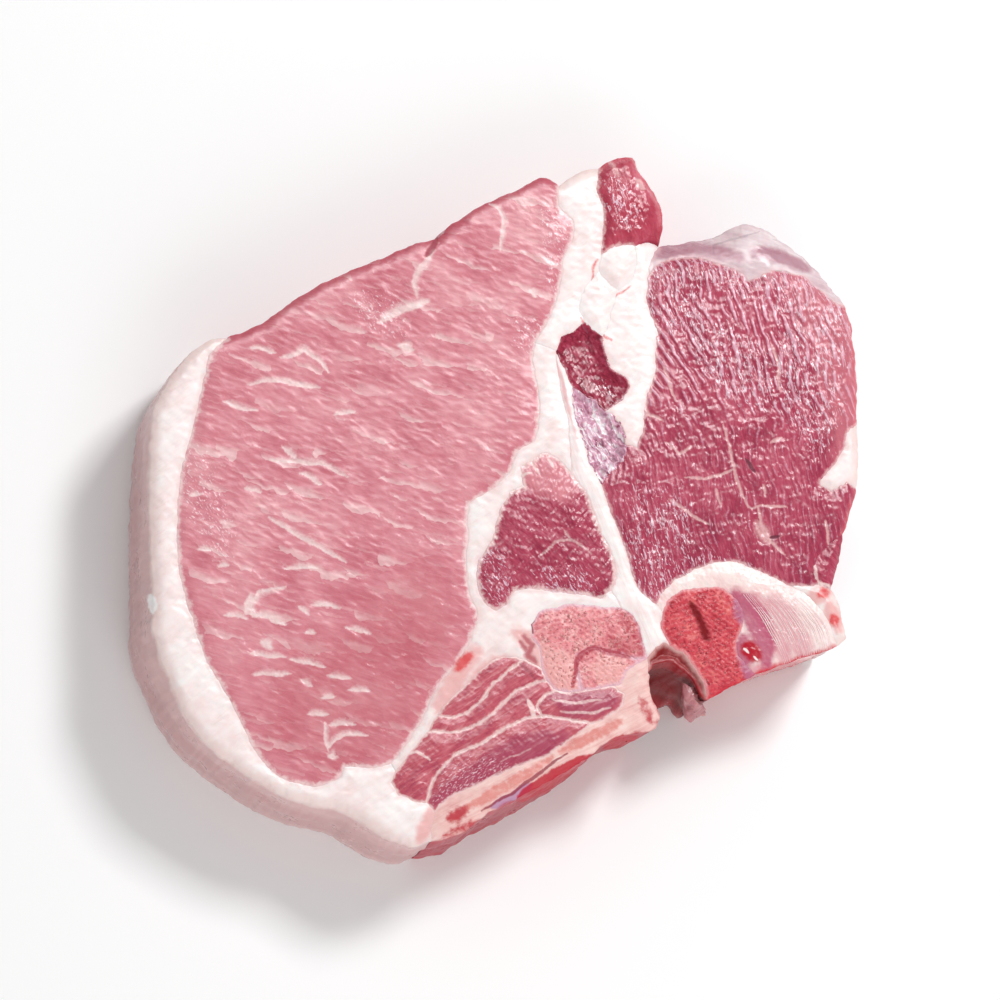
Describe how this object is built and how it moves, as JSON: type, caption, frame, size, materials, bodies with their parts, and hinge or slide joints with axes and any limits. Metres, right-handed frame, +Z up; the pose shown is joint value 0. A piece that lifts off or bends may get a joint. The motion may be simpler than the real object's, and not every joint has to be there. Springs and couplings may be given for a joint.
{
  "type": "raw t-bone steak",
  "caption": "Raw bone-in loin steak of the t-bone cut: pale loin, red tenderloin, sawn backbone and a rim of white fat, lying flat.",
  "frame": {"origin": "middle of the steak's footprint, on the plane that its back face rests on", "axes": "+X towards the tenderloin, along the longest side; +Y towards the flank end; +Z up, through the thickness"},
  "size_m": [0.1579, 0.1518, 0.0255],
  "materials": {
    "pale_muscle": "moist, faintly marbled",
    "red_muscle": "wet, grained",
    "dark_muscle": "wet and glossy",
    "fat": "waxy, slightly moist",
    "bone": "sawn, pink and porous",
    "marrow_bone": "sawn, red and spongy",
    "cartilage": "smooth, ringed",
    "membrane": "thin and wet"
  },
  "bodies": {
    "root": {"loin_eye": "pale_muscle", "fat_cap": "fat", "seam_fat": "fat", "flank_fat": "fat", "pocket_fat": "fat", "tenderloin_fat": "fat", "rim_fat_patch": "fat", "end_fat": "fat", "fat_lobule_1": "fat", "fat_lobule_2": "fat", "multifidus": "red_muscle", "side_muscle_1": "red_muscle", "side_muscle_2": "red_muscle", "side_muscle_3": "red_muscle", "side_muscle_4": "red_muscle", "interspinal_muscle": "red_muscle", "tenderloin": "red_muscle", "psoas_minor": "red_muscle", "flank_muscle": "red_muscle", "dark_muscle_upper": "dark_muscle", "dark_muscle_lower": "dark_muscle", "upper_facet": "bone", "lower_facet": "bone", "spinous_process": "bone", "vertebral_body": "marrow_bone", "transverse_process": "bone", "disc": "cartilage", "canal_lining": "membrane", "canal_scrap": "membrane"}
  },
  "joints": []
}
